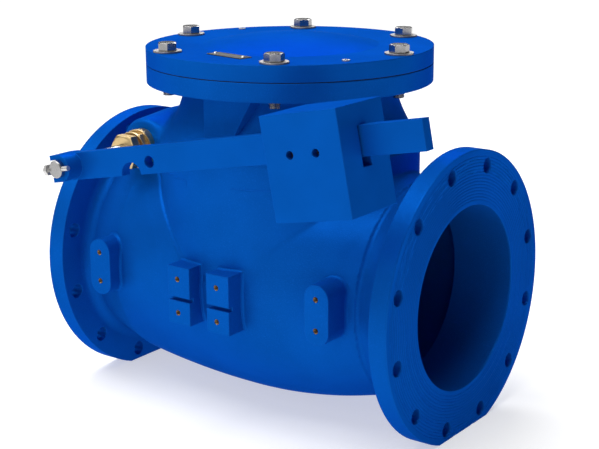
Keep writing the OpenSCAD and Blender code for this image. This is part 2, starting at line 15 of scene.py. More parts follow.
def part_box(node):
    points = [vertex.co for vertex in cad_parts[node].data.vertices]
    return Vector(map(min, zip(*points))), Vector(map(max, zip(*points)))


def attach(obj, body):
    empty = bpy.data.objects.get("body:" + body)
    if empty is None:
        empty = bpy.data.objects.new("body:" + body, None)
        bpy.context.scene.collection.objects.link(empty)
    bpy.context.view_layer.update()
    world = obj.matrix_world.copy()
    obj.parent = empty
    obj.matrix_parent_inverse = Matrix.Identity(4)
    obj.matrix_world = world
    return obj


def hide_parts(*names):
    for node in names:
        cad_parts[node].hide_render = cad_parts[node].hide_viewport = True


bl_info = {
    "name": "Swing check valve looks",
    "version": (1, 0, 0),
    "blender": (4, 5, 0),
    "location": "3D View > Sidebar > Valve",
    "description": "Finishes, cast fillets, threads and a studio for a lever-and-weight swing check valve",
    "category": "Object",
}

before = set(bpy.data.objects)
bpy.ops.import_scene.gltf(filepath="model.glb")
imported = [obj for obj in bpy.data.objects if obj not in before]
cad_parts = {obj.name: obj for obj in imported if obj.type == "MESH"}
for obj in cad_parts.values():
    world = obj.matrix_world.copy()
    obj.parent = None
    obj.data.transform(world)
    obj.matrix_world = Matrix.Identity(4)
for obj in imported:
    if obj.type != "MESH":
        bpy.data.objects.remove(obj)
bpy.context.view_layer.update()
BODY_LOW, BODY_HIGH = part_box("body")
NUT_LOW, NUT_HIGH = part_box("packing_nut")

LENGTH = BODY_HIGH.x - BODY_LOW.x
MID_X = (BODY_LOW.x + BODY_HIGH.x) / 2
FLOOR_Z = BODY_LOW.z
JOINT_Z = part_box("cover_gasket")[0].z
SHAFT_X = (NUT_LOW.x + NUT_HIGH.x) / 2
SHAFT_Z = (NUT_LOW.z + NUT_HIGH.z) / 2
MM = 0.001


# --- settings ---


class CoatingSettings(bpy.types.PropertyGroup):
    """The fused epoxy coating on the iron castings."""

    colour: FloatVectorProperty(
        name="Colour", description="Colour of the coating", subtype="COLOR", size=3, min=0, max=1,
        default=(0.0018, 0.090, 0.440))
    roughness: FloatProperty(
        name="Roughness", description="Roughness of the coating on a smooth face",
        min=0, max=1, default=0.36)
    grain: FloatProperty(
        name="Grain depth", description="Depth of the sand-cast grain under the coating", subtype="DISTANCE",
        min=0, max=0.002, default=0.00042)
    grain_pitch: FloatProperty(
        name="Grain size", description="Size of one grain of the sand-cast surface", subtype="DISTANCE",
        min=0.0004, max=0.01, default=0.0021)
    edge_radius: FloatProperty(
        name="Edge radius", description="How far the coating rounds over an edge", subtype="DISTANCE",
        min=0, max=0.01, default=0.0026)


class CastingSettings(bpy.types.PropertyGroup):
    """Fillets of the body."""

    fillet: FloatProperty(
        name="Fillet", description="Size of the fillets between the barrel, the bowl and the shaft housing",
        subtype="DISTANCE", min=0.005, max=0.08, default=0.034)
    grid: FloatProperty(
        name="Grid", description="Spacing of the grid that the fillets are taken from", subtype="DISTANCE",
        min=0.002, max=0.01, default=0.0035)
    pad_fillet: FloatProperty(
        name="Pad fillet", description="Fillet around the foot of each pad", subtype="DISTANCE",
        min=0.001, max=0.01, default=0.0045)


class HardwareSettings(bpy.types.PropertyGroup):
    """Fasteners, gland and plate."""

    steel: FloatVectorProperty(
        name="Steel", description="Colour of the stainless fasteners", subtype="COLOR", size=3, min=0, max=1,
        default=(0.38, 0.375, 0.375))
    brass: FloatVectorProperty(
        name="Brass", description="Colour of the gland and its nut", subtype="COLOR", size=3, min=0, max=1,
        default=(0.72, 0.53, 0.26))
    thread_pitch: FloatProperty(
        name="Thread pitch", description="Pitch of the cover bolts' thread", subtype="DISTANCE",
        min=0.001, max=0.004, default=0.0024)
    thread_depth: FloatProperty(
        name="Thread depth", description="Depth of the cover bolts' thread", subtype="DISTANCE",
        unit="LENGTH", min=0.0003, max=0.002, default=0.0013)


class StageSettings(bpy.types.PropertyGroup):
    """Camera and studio."""

    camera: FloatVectorProperty(
        name="Camera", description="Place of the camera", subtype="XYZ", unit="LENGTH", size=3,
        default=(1.74744, -1.89579, 0.70615))
    azimuth: FloatProperty(
        name="Azimuth", description="Turn of the camera about the upright axis", subtype="ANGLE",
        default=math.radians(36.045))
    elevation: FloatProperty(
        name="Elevation", description="How far the camera looks down", subtype="ANGLE",
        default=math.radians(15.146))
    roll: FloatProperty(
        name="Roll", description="Roll of the camera", subtype="ANGLE", default=math.radians(-0.353))
    lens: FloatProperty(
        name="Lens", description="Focal length in millimetres", min=20, max=300, default=84.414)
    key_power: FloatProperty(
        name="Front light", description="Power of the large front light", subtype="POWER", min=0, default=16)
    sun: FloatProperty(
        name="Overhead light", description="Strength of the wide soft light from above", min=0, default=2.5)
    left_power: FloatProperty(
        name="Left light", description="Power of the soft light on the inlet side", subtype="POWER", min=0,
        default=16)
    back_power: FloatProperty(
        name="Back light", description="Power of the soft light behind the valve", subtype="POWER", min=0,
        default=60)
    floor_glow: FloatProperty(
        name="Floor glow", description="Light that the pale floor gives off", min=0, max=1, default=0.52)
    sky: FloatProperty(
        name="Room light", description="Strength of the light from all sides", min=0, default=0.12)


class ValveSettings(bpy.types.PropertyGroup):
    """All settings of the valve's looks."""

    coating: PointerProperty(type=CoatingSettings)
    casting: PointerProperty(type=CastingSettings)
    hardware: PointerProperty(type=HardwareSettings)
    stage: PointerProperty(type=StageSettings)


def settings():
    return bpy.context.scene.valve_looks


# --- node groups ---


def new_group(name, inputs, outputs):
    """An empty shader node group. inputs and outputs are (name, socket type, default) rows."""
    tree = bpy.data.node_groups.new(name, "ShaderNodeTree")
    for label, kind, value in inputs:
        socket = tree.interface.new_socket(label, in_out="INPUT", socket_type="NodeSocket" + kind)
        if value is not None:
            socket.default_value = value
    for label, kind in outputs:
        tree.interface.new_socket(label, in_out="OUTPUT", socket_type="NodeSocket" + kind)
    return tree, tree.nodes.new("NodeGroupInput"), tree.nodes.new("NodeGroupOutput")


def feed(tree, socket, value):
    """Links a socket to the value if that is a socket, and otherwise sets it to the value."""
    if isinstance(value, bpy.types.NodeSocket):
        tree.links.new(value, socket)
    else:
        socket.default_value = value


def node(tree, kind, links=None, **values):
    """A node with its properties set and its sockets linked or filled by name or number."""
    made = tree.nodes.new(kind)
    for key, value in values.items():
        setattr(made, key, value)
    for key, value in (links or {}).items():
        feed(tree, made.inputs[key], value)
    return made


def maths(tree, operation, a, b, clamp=False):
    """The result of a maths node on two sockets or numbers."""
    return node(tree, "ShaderNodeMath", {0: a, 1: b}, operation=operation, use_clamp=clamp).outputs[0]


def ramp(tree, factor, low, high, to_low=0.0, to_high=1.0):
    """Maps factor from low..high to to_low..to_high, smoothly and clamped."""
    return node(tree, "ShaderNodeMapRange", {"Value": factor, "From Min": low, "From Max": high,
                                             "To Min": to_low, "To Max": to_high},
                interpolation_type="SMOOTHSTEP").outputs["Result"]


def mix_colours(tree, factor, a, b, blend="MIX"):
    made = node(tree, "ShaderNodeMix", {"Factor": factor}, data_type="RGBA", blend_type=blend)
    feed(tree, made.inputs[6], a)
    feed(tree, made.inputs[7], b)
    return made.outputs[2]


def noise(tree, place, scale, detail=2.0, rough=0.5):
    return node(tree, "ShaderNodeTexNoise", {"Vector": place, "Scale": scale, "Detail": detail,
                                             "Roughness": rough}).outputs["Fac"]


def group_cast_grain():
    """Sand-cast grain: fine grain, broader waviness and a mask of the proud grains."""
    tree, given, out = new_group(
        "cast_grain",
        [("Place", "Vector", None), ("Grains per metre", "Float", 600.0), ("Amount", "Float", 1.0)],
        [("Height", "Float"), ("Proud", "Float")])
    place = given.outputs["Place"]
    fine = noise(tree, place, given.outputs["Grains per metre"], 3.0, 0.62)
    coarse = noise(tree, place, 46.0, 2.0, 0.5)
    waves = maths(tree, "MULTIPLY", coarse, 1.6)
    whole = maths(tree, "ADD", fine, waves)
    tree.links.new(maths(tree, "MULTIPLY", whole, given.outputs["Amount"]), out.inputs["Height"])
    proud = ramp(tree, fine, 0.52, 0.70)
    tree.links.new(maths(tree, "MULTIPLY", proud, given.outputs["Amount"]), out.inputs["Proud"])
    return tree


def group_tone_drift():
    """Slow change of tone over a surface, as sprayed or fused coatings and bare metals have."""
    tree, given, out = new_group(
        "tone_drift",
        [("Place", "Vector", None), ("Colour", "Color", (1, 1, 1, 1)), ("Patches per metre", "Float", 9.0),
         ("Darkest", "Float", 0.9), ("Lightest", "Float", 1.08)],
        [("Colour", "Color"), ("Tone", "Float")])
    field = noise(tree, given.outputs["Place"], given.outputs["Patches per metre"], 3.0, 0.55)
    tone = node(tree, "ShaderNodeMapRange", {"Value": field, "From Min": 0.3, "From Max": 0.7,
                                             "To Min": given.outputs["Darkest"],
                                             "To Max": given.outputs["Lightest"]}).outputs["Result"]
    grey = node(tree, "ShaderNodeCombineColor", {0: tone, 1: tone, 2: tone}).outputs[0]
    tree.links.new(mix_colours(tree, 1.0, given.outputs["Colour"], grey, "MULTIPLY"), out.inputs["Colour"])
    tree.links.new(tone, out.inputs["Tone"])
    return tree


def group_smudges():
    """Roughness of a handled surface: wiped patches, speckle and fine scratches."""
    tree, given, out = new_group(
        "smudges",
        [("Place", "Vector", None), ("Base", "Float", 0.35), ("Spread", "Float", 0.1)],
        [("Roughness", "Float"), ("Scratches", "Float")])
    place = given.outputs["Place"]
    wiped = noise(tree, place, 23.0, 4.0, 0.6)
    stretched = node(tree, "ShaderNodeMapping",
                     {"Vector": place, "Rotation": (0.3, 0.5, 0.9),
                      "Scale": (30, 30, 900)}).outputs[0]
    lines = noise(tree, stretched, 1.0, 1.0, 0.4)
    scratched = ramp(tree, lines, 0.66, 0.78)
    swing = maths(tree, "MULTIPLY", maths(tree, "SUBTRACT", wiped, 0.5), given.outputs["Spread"])
    rough = maths(tree, "ADD", given.outputs["Base"], maths(tree, "MULTIPLY", swing, 2.0))
    tree.links.new(maths(tree, "ADD", rough, 0.0, True), out.inputs["Roughness"])
    tree.links.new(scratched, out.inputs["Scratches"])
    return tree


def group_turned_lines():
    """Rings left by a lathe around an axis that runs along Z of the given place."""
    tree, given, out = new_group(
        "turned_lines",
        [("Place", "Vector", None), ("Rings per metre", "Float", 1400.0)],
        [("Height", "Float")])
    place = given.outputs["Place"]
    parts = node(tree, "ShaderNodeSeparateXYZ", {0: place}).outputs
    squares = maths(tree, "ADD", maths(tree, "MULTIPLY", parts[0], parts[0]),
                    maths(tree, "MULTIPLY", parts[1], parts[1]))
    radius = maths(tree, "SQRT", squares, 0.0)
    along = maths(tree, "ADD", radius, parts[2])
    turns = maths(tree, "MULTIPLY", along, given.outputs["Rings per metre"])
    wave = maths(tree, "SINE", maths(tree, "MULTIPLY", turns, 2 * math.pi), 0.0)
    uneven = noise(tree, place, 90.0, 2.0, 0.5)
    tree.links.new(maths(tree, "MULTIPLY", wave, uneven), out.inputs["Height"])
    return tree


def group_edge_finder():
    """Rounded normal over edges, and a mask that is 1 on an edge and 0 on an open face."""
    tree, given, out = new_group(
        "edge_finder", [("Radius", "Float", 0.001)], [("Normal", "Vector"), ("Edge", "Float")])
    rounded = node(tree, "ShaderNodeBevel", {"Radius": given.outputs["Radius"]}, samples=6).outputs[0]
    plain = node(tree, "ShaderNodeNewGeometry").outputs["Normal"]
    match = node(tree, "ShaderNodeVectorMath", {0: rounded, 1: plain},
                 operation="DOT_PRODUCT").outputs["Value"]
    tree.links.new(rounded, out.inputs["Normal"])
    tree.links.new(ramp(tree, match, 0.995, 0.86), out.inputs["Edge"])
    return tree


GROUP_MAKERS = {
    "cast_grain": group_cast_grain,
    "tone_drift": group_tone_drift,
    "smudges": group_smudges,
    "turned_lines": group_turned_lines,
    "edge_finder": group_edge_finder,
}


def placed(tree, name, links):
    """A shared group placed in a material, made the first time it is asked for."""
    shared = bpy.data.node_groups.get(name) or GROUP_MAKERS[name]()
    return node(tree, "ShaderNodeGroup", links, node_tree=shared).outputs


# --- materials ---


def new_material(name, **constants):
    """A material with one Principled shader. constants are its sockets that hold one value all over."""
    material = bpy.data.materials.new(name)
    material.use_nodes = True
    tree = material.node_tree
    shader = tree.nodes["Principled BSDF"]
    for socket, value in constants.items():
        shader.inputs[socket.replace("_", " ")].default_value = value
    place = node(tree, "ShaderNodeTexCoord").outputs["Object"]
    return material, tree, shader, place


def bumped(tree, shader, height, depth, normal=None):
    """Feeds the shader's normal from a height and, where given, a rounded normal."""
    links = {"Height": height, "Strength": 1.0, "Distance": depth}
    if normal is not None:
        links["Normal"] = normal
    made = node(tree, "ShaderNodeBump", links)
    tree.links.new(made.outputs[0], shader.inputs["Normal"])


def opaque(colour):
    return (*colour, 1.0)


def lighter(colour, gain, lift):
    """The colour made brighter, opaque."""
    return opaque([min(1.0, c * gain + lift) for c in colour])


def drifting(tree, place, colour, patches, darkest, lightest):
    """The colour with a slow change of tone over it."""
    return placed(tree, "tone_drift", {"Place": place, "Colour": colour, "Patches per metre": patches,
                                       "Darkest": darkest, "Lightest": lightest})["Colour"]


def made_once(maker):
    """A maker that gives back the material of that name if there is one already."""
    def once(name, *given, **more):
        return bpy.data.materials.get(name) or maker(name, *given, **more)
    return once


@made_once
def blue_epoxy(name, grain=1.0, machined_ends=False):
    """Fused blue epoxy over iron: grain under it, a painted highlight along edges, slow tone changes and
    wiped gloss.
    """
    s = settings().coating
    material, tree, shader, place = new_material(
        name, Metallic=0.28, Specular_IOR_Level=0.0, Specular_Tint=(0.0, 0.16, 0.62, 1.0))
    amount = grain
    if machined_ends:
        x = node(tree, "ShaderNodeSeparateXYZ", {0: place}).outputs[0]
        from_middle = maths(tree, "ABSOLUTE", maths(tree, "SUBTRACT", x, MID_X), 0.0)
        amount = ramp(tree, from_middle, LENGTH / 2 - 0.003, LENGTH / 2 - 0.001, grain, 0.0)
    drift = drifting(tree, place, opaque(s.colour), 7.0, 0.90, 1.08)
    edge = placed(tree, "edge_finder", {"Radius": s.edge_radius})
    grains = placed(tree, "cast_grain", {"Place": place, "Grains per metre": 1 / s.grain_pitch,
                                         "Amount": amount})
    # Painted highlight: the coating colour is mixed lighter along edges, standing for light caught on their
    # rounded edges.
    painted_edge_highlight = mix_colours(tree, maths(tree, "MULTIPLY", edge["Edge"], 0.6), drift,
                       lighter(s.colour, 1.4, 0.004))
    flecked = mix_colours(tree, maths(tree, "MULTIPLY", grains["Proud"], 0.4), painted_edge_highlight,
                          lighter(s.colour, 1.4, 0.005))
    tree.links.new(flecked, shader.inputs["Base Color"])
    gloss = placed(tree, "smudges", {"Place": place, "Base": s.roughness, "Spread": 0.06})
    rough = maths(tree, "ADD", gloss["Roughness"], maths(tree, "MULTIPLY", grains["Proud"], 0.10), True)
    tree.links.new(rough, shader.inputs["Roughness"])
    bumped(tree, shader, grains["Height"], s.grain, edge["Normal"])
    return material


@made_once
def bare_metal(name, colour, roughness, spread=0.08, radius=0.0006, rings=0.0, axis="Z", centre=(0, 0, 0),
               darkest=0.82, lightest=1.08):
    """Bare metal: drifting tone, wiped roughness, scratches, bright edges and lathe rings where asked."""
    material, tree, shader, place = new_material(name, Metallic=1.0)
    drift = drifting(tree, place, opaque(colour), 60.0, darkest, lightest)
    edge = placed(tree, "edge_finder", {"Radius": radius})
    bright = mix_colours(tree, maths(tree, "MULTIPLY", edge["Edge"], 0.4), drift,
                         lighter(colour, 1.25, 0.03))
    tree.links.new(bright, shader.inputs["Base Color"])
    gloss = placed(tree, "smudges", {"Place": place, "Base": roughness, "Spread": spread})
    rough = maths(tree, "ADD", gloss["Roughness"], maths(tree, "MULTIPLY", gloss["Scratches"], 0.12), True)
    tree.links.new(rough, shader.inputs["Roughness"])
    height = maths(tree, "MULTIPLY", gloss["Scratches"], -0.4)
    if rings:
        turn = {"Z": (0, 0, 0), "Y": (math.pi / 2, 0, 0), "X": (0, math.pi / 2, 0)}[axis]
        shifted = node(tree, "ShaderNodeVectorMath", {0: place, 1: centre}, operation="SUBTRACT").outputs[0]
        faced = node(tree, "ShaderNodeMapping", {"Vector": shifted, "Rotation": turn}).outputs[0]
        lathe = placed(tree, "turned_lines", {"Place": faced, "Rings per metre": rings})
        height = maths(tree, "ADD", height, lathe["Height"])
    bumped(tree, shader, height, 0.000025, edge["Normal"])
    return material


@made_once
def iron(name):
    """Uncoated ductile iron of the disc and its arm: dark, sand-grained, with worn edges."""
    material, tree, shader, place = new_material(name, Metallic=0.85)
    drift = drifting(tree, place, (0.075, 0.08, 0.09, 1.0), 30.0, 0.75, 1.25)
    edge = placed(tree, "edge_finder", {"Radius": 0.0012})
    grains = placed(tree, "cast_grain", {"Place": place, "Grains per metre": 700.0, "Amount": 1.0})
    worn = mix_colours(tree, maths(tree, "MULTIPLY", edge["Edge"], 0.6), drift, (0.32, 0.32, 0.33, 1.0))
    tree.links.new(worn, shader.inputs["Base Color"])
    gloss = placed(tree, "smudges", {"Place": place, "Base": 0.46, "Spread": 0.1})
    tree.links.new(gloss["Roughness"], shader.inputs["Roughness"])
    bumped(tree, shader, grains["Height"], 0.0002, edge["Normal"])
    return material


@made_once
def soft_black(name, colour, roughness, weave=0.0):
    """Rubber, gasket sheet or packing: matt, with a fine texture, and a braid where asked."""
    material, tree, shader, place = new_material(name, Specular_IOR_Level=0.35)
    drift = drifting(tree, place, opaque(colour), 45.0, 0.8, 1.3)
    tree.links.new(drift, shader.inputs["Base Color"])
    gloss = placed(tree, "smudges", {"Place": place, "Base": roughness, "Spread": 0.08})
    tree.links.new(gloss["Roughness"], shader.inputs["Roughness"])
    grains = placed(tree, "cast_grain", {"Place": place, "Grains per metre": 1800.0, "Amount": 1.0})
    height = grains["Height"]
    if weave:
        checks = node(tree, "ShaderNodeTexVoronoi", {"Vector": place, "Scale": weave}).outputs["Distance"]
        height = maths(tree, "ADD", height, maths(tree, "MULTIPLY", checks, 3.0))
    bumped(tree, shader, height, 0.00012)
    return material


def stainless(name="stainless", **more):
    return bare_metal(name, tuple(settings().hardware.steel), 0.24, **more)


def brass(name="brass", **more):
    return bare_metal(name, tuple(settings().hardware.brass), 0.36, radius=0.0008, **more)


def set_material(obj, material):
    obj.data.materials.clear()
    obj.data.materials.append(material)


def finish(material, *names):
    """Gives CAD nodes their material."""
    for name in names:
        set_material(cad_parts[name], material)


# --- mesh helpers ---


def new_piece(name, verts, faces, material, body, slot=None):
    """A smooth mesh object that rides on a body; the slot argument is not used."""
    mesh = bpy.data.meshes.new(name)
    mesh.from_pydata([tuple(v) for v in verts], [], [tuple(f) for f in faces])
    mesh.validate()
    mesh.update()
    obj = bpy.data.objects.new(name, mesh)
    bpy.context.scene.collection.objects.link(obj)
    mesh.shade_smooth()
    mesh.materials.append(material)
    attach(obj, body)
    return obj


def apply_modifiers(obj):
    """Puts the result of the object's modifiers in its mesh."""
    graph = bpy.context.evaluated_depsgraph_get()
    done = bpy.data.meshes.new_from_object(obj.evaluated_get(graph))
    obj.modifiers.clear()
    obj.data = done


def rounded_copy(source, name, width, material, body, angle=32, segments=3):
    """A copy of a CAD node with its edges rounded, which stands for that node."""
    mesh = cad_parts[source].data.copy()
    mesh.name = name
    made = bmesh.new()
    made.from_mesh(mesh)
    bmesh.ops.remove_doubles(made, verts=made.verts, dist=1e-6)
    bmesh.ops.dissolve_limit(made, angle_limit=math.radians(0.6), verts=made.verts, edges=made.edges)
    made.to_mesh(mesh)
    made.free()
    obj = bpy.data.objects.new(name, mesh)
    bpy.context.scene.collection.objects.link(obj)
    rounding = obj.modifiers.new("rounding", "BEVEL")
    rounding.width = width
    rounding.segments = segments
    rounding.limit_method = "ANGLE"
    rounding.angle_limit = math.radians(angle)
    rounding.use_clamp_overlap = True
    rounding.harden_normals = True
    weighting = obj.modifiers.new("weighting", "WEIGHTED_NORMAL")
    weighting.keep_sharp = True
    obj.data.shade_smooth()
    apply_modifiers(obj)
    set_material(obj, material)
    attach(obj, body)
    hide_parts(source)
    return obj


def grid_faces(rows, columns, flip=False):
    """Quads of a grid of vertices that closes on itself along its columns."""
    faces = []
    for i in range(rows - 1):
        for k in range(columns):
            m = (k + 1) % columns
            quad = (i * columns + k, i * columns + m, (i + 1) * columns + m, (i + 1) * columns + k)
            faces.append(quad[::-1] if flip else quad)
    return faces


def tube_faces(rows, columns):
    """Quads around a stack of rings, and a face on each end."""
    ends = [tuple(range(columns))[::-1], tuple(range((rows - 1) * columns, rows * columns))]
    return grid_faces(rows, columns) + ends


def thread_wave(turns):
    """Share of a thread's depth at a place measured in turns: 0 on a crest and 1 in a root."""
    part = np.mod(turns, 1.0)
    return np.clip(2.4 * np.minimum(part, 1 - part) - 0.1, 0, 1)


def threaded_rod(radius, depth, pitch, low, high, plain_from, chamfer=1.2 * MM, steps=32):
    """Vertices and faces of an upright rod with a thread below plain_from and a chamfered lower end."""
    heights = np.append(np.arange(low, plain_from, pitch / 6), (plain_from, high))
    turn, height = np.meshgrid(np.arange(steps) / steps, heights)
    groove = np.where(height < plain_from, depth * thread_wave(height / pitch - turn), 0)
    end = np.clip(low + chamfer - height, 0, None)
    r = np.minimum(radius - groove, radius - end)
    a = 2 * math.pi * turn
    verts = np.stack([r * np.cos(a), r * np.sin(a), height], -1).reshape(-1, 3)
    return verts, tube_faces(len(heights), steps)


def hex_head(across, low, high, bore=0.0, steps=72):
    """Vertices and faces of an upright hexagon head with the corners turned off at its top."""
    angle = 2 * math.pi * np.arange(steps) / steps
    flat = np.mod(angle + math.pi / 6, math.pi / 3) - math.pi / 6
    side = across / 2 / np.cos(flat)
    crown = across / 2 * 0.96
    shoulder = high - (side - crown) * math.tan(math.radians(30))
    rings = [(np.full(steps, bore), low), (side - 0.4 * MM, low), (side, low + 0.4 * MM), (side, shoulder),
             (np.full(steps, crown), high), (np.full(steps, bore), high)]
    verts = [np.stack([r * np.cos(angle), r * np.sin(angle), np.broadcast_to(h, steps)], 1)
             for r, h in rings]
    return np.concatenate(verts), grid_faces(len(rings), steps)


def merged(parts):
    """One set of vertices and faces from several."""
    verts, faces, count = [], [], 0
    for part_verts, part_faces in parts:
        verts.append(np.asarray(part_verts, float))
        faces += [tuple(count + v for v in face) for face in part_faces]
        count += len(part_verts)
    return np.concatenate(verts), faces


def moved(part, place, spin=0.0):
    """A part turned about the upright axis and moved."""
    verts, faces = part
    c, s = math.cos(spin), math.sin(spin)
    turned = np.asarray(verts) @ np.array([[c, s, 0], [-s, c, 0], [0, 0, 1]])
    return turned + np.array(place), faces


def crisp(obj, angle=30):
    """Smooth shading that keeps edges sharper than the angle."""
    obj.data.shade_smooth()
    obj.data.set_sharp_from_angle(angle=math.radians(angle))


# --- finishes of the CAD nodes ---


class VALVE_OT_finish_castings(bpy.types.Operator):
    """Coats the body and the cover in blue epoxy"""

    bl_idname = "valve.finish_castings"
    bl_label = "Coat the castings"

    def execute(self, context):
        finish(blue_epoxy("blue_epoxy_body", 1.0, machined_ends=True), "body")
        finish(blue_epoxy("blue_epoxy_cover", 0.45), "cover")
        return {"FINISHED"}


class VALVE_OT_finish_inside(bpy.types.Operator):
    """Gives the disc, its arm, the seat and the sealing pieces their finishes"""

    bl_idname = "valve.finish_inside"
    bl_label = "Finish the inside"

    def execute(self, context):
        finish(iron("arm_iron"), "disc_arm", "disc")
        finish(bare_metal("seat_bronze", (0.62, 0.36, 0.14), 0.26, rings=900.0, axis="X"),
               "seat_ring", "far_bushing")
        finish(soft_black("seal_rubber", (0.012, 0.012, 0.013), 0.62), "disc_seal")
        finish(soft_black("gasket_sheet", (0.014, 0.022, 0.045), 0.8), "cover_gasket")
        finish(soft_black("packing_braid", (0.02, 0.02, 0.02), 0.7, 420.0), "packing_rings")
        finish(stainless(), "seat_screws", "arm_clamp_bolt", "retainer_screws", "stud_nut", "stud_washer",
               "stud_cotter_pin", "seal_retainer", "jack_screws", "nameplate_screws")
        finish(bare_metal("key_steel", (0.34, 0.34, 0.36), 0.3), "arm_key", "lever_key")
        return {"FINISHED"}


class VALVE_OT_finish_hinge(bpy.types.Operator):
    """Gives the shaft, the gland, its nut and the far plug their turned metal finishes"""

    bl_idname = "valve.finish_hinge"
    bl_label = "Finish the hinge"

    def execute(self, context):
        centre = (SHAFT_X, 0.0, SHAFT_Z)
        finish(stainless("shaft_steel", rings=1600.0, axis="Y", centre=centre), "hinge_shaft")
        turned = brass("turned_brass", rings=1300.0, axis="Y", centre=centre)
        for name in ("packing_nut", "gland_housing", "far_plug"):
            rounded_copy(name, name + "_rounded", 0.9 * MM, turned, "housing")
        return {"FINISHED"}


class VALVE_OT_finish_lever(bpy.types.Operator):
    """Rounds and coats the lever and the weight, and finishes their screws"""

    bl_idname = "valve.finish_lever"
    bl_label = "Finish the lever and weight"

    def execute(self, context):
        coat = blue_epoxy("blue_epoxy_smooth", 0.18)
        rounded_copy("lever", "lever_rounded", 0.8 * MM, coat, "hinge_assembly")
        rounded_copy("weight", "weight_rounded", 1.1 * MM, coat, "weight_assembly")
        finish(stainless(), "lever_bolt")
        finish(bare_metal("dark_screw_steel", (0.12, 0.12, 0.13), 0.4), "weight_set_screws")
        return {"FINISHED"}


WASHER_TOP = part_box("cover_washers")[1].z
BOLTS_LOW, BOLTS_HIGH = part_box("cover_bolts")
BOLT_CIRCLE_R = 216 * MM
BOLT_R = 9.525 * MM
BOLT_ACROSS = 28.6 * MM
BOLT_COUNT = 6


class VALVE_OT_cover_bolts(bpy.types.Operator):
    """Builds the threaded cover bolts and rounds their washers"""

    bl_idname = "valve.cover_bolts"
    bl_label = "Cover bolts"

    THREAD_END = 40 * MM
    TIP = 4 * MM

    def execute(self, context):
        s = settings().hardware
        rod = threaded_rod(BOLT_R, s.thread_depth, s.thread_pitch, BOLTS_LOW.z - self.TIP, WASHER_TOP + MM,
                           BOLTS_LOW.z + self.THREAD_END)
        head = hex_head(BOLT_ACROSS, WASHER_TOP, BOLTS_HIGH.z, bore=BOLT_R * 0.5)
        crown = threaded_rod(BOLT_R * 0.5 + 0.1 * MM, 0, 1, WASHER_TOP, BOLTS_HIGH.z, WASHER_TOP, 0)
        parts = []
        for i in range(BOLT_COUNT):
            turn = 2 * math.pi * i / BOLT_COUNT
            place = (MID_X + BOLT_CIRCLE_R * math.cos(turn), BOLT_CIRCLE_R * math.sin(turn), 0)
            for part in (rod, head, crown):
                parts.append(moved(part, place, self.spin(i)))
        steel = bare_metal("bolt_steel", tuple(s.steel), 0.22)
        bolts = new_piece("cover_bolts_threaded", *merged(parts), steel, "housing", "stainless")
        crisp(bolts)
        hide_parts("cover_bolts")
        matt = bare_metal("washer_steel", (0.34, 0.33, 0.33), 0.48)
        rounded_copy("cover_washers", "cover_washers_rounded", 0.5 * MM, matt, "housing")
        return {"FINISHED"}

    def spin(self, i):
        """Where a bolt happened to stop turning when it was tightened."""
        return math.radians(17 * i * i + 8)


class VALVE_OT_nameplate(bpy.types.Operator):
    """Builds the blank nameplate with its raised frame"""

    bl_idname = "valve.nameplate"
    bl_label = "Nameplate"

    LENGTH = 82 * MM
    WIDTH = 26 * MM
    CORNER = 3 * MM
    FRAME_IN = 1.6 * MM
    FRAME_W = 1.2 * MM
    RECESS = 0.45 * MM
    EDGE = 0.3 * MM
    SLOPE = 0.2 * MM
    FIELD = 0.1 * MM
    TURN = math.radians(-10)

    def outline(self, inset, height):
        """A ring of points around the plate, drawn in by inset."""
        points = []
        corner = max(self.CORNER - inset, 0.4 * MM)
        half_l, half_w = self.LENGTH / 2 - inset - corner, self.WIDTH / 2 - inset - corner
        for x, y, start in ((half_l, half_w, 0), (-half_l, half_w, 90), (-half_l, -half_w, 180),
                            (half_l, -half_w, 270)):
            for step in range(7):
                a = math.radians(start + 15 * step)
                points.append((x + corner * math.cos(a), y + corner * math.sin(a), height))
        return points

    def execute(self, context):
        low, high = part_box("nameplate")
        thick = high.z - low.z
        groove = self.FRAME_IN + self.FRAME_W
        rows = [(0.0, 0.0), (0.0, thick - self.EDGE), (self.EDGE, thick), (self.FRAME_IN, thick),
                (self.FRAME_IN + self.SLOPE, thick - self.RECESS), (groove, thick - self.RECESS),
                (groove + self.SLOPE, thick - self.FIELD)]
        verts = [point for inset, height in rows for point in self.outline(inset, height)]
        middle = ((low.x + high.x) / 2, (low.y + high.y) / 2, low.z)
        verts, faces = moved((verts, tube_faces(len(rows), len(verts) // len(rows))), middle, self.TURN)
        metal = bare_metal("plate_metal", (0.05, 0.05, 0.05), 0.55, darkest=0.7, lightest=1.3)
        plate = new_piece("nameplate_framed", verts, faces, metal, "housing", "name_plate")
        crisp(plate, 20)
        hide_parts("nameplate")
        return {"FINISHED"}


# --- cast fillets of the body ---


WALL_Z_LOW = -45 * MM
BOWL_FOOT_IN = 22 * MM
BOWL_FOOT_TOP = 30 * MM
BARREL_R = 218 * MM
BELLY_IN_R = 1600 * MM
BELLY_OUT_R = 790 * MM
HUB_IN_R = 180 * MM
HUB_IN_X = 49.8 * MM
SHOULDER_X = MID_X - 232 * MM
HUB_OUT_R = 174 * MM
HUB_FILLET = 12 * MM
BOWL_R = 221 * MM
BOWL_TOP_Z = 220 * MM
NECK_Z = 300 * MM
NECK_R = 173.5 * MM
BONNET_R = 241.3 * MM
BONNET_T = 30 * MM
BOSS_R = 50 * MM
BOSS_MID_R = 57 * MM
BOSS_MID_HALF = 40 * MM
BOSS_HALF = 128 * MM
BOSS_ROUND = 10 * MM
LIP_H = 5 * MM
LIP_L = 70 * MM
LIP_SPREAD = 0.4
LIP_ROUND = 7 * MM
LIP_LOW = 150 * MM
HUB_OUT_X = MID_X + 249 * MM
FLANGE_T = 31.8 * MM
FLARE_R = LENGTH - FLANGE_T - HUB_OUT_X
NECK_SHARE = 0.9
CREASE_IN_SHARE = 0.16
CREASE_OUT_SHARE = 0.14
BONNET_SHARE = 0.5
NET_LOW = (45 * MM, -240 * MM, -232 * MM)
NET_HIGH = (630 * MM, 240 * MM, JOINT_Z - 2 * MM)
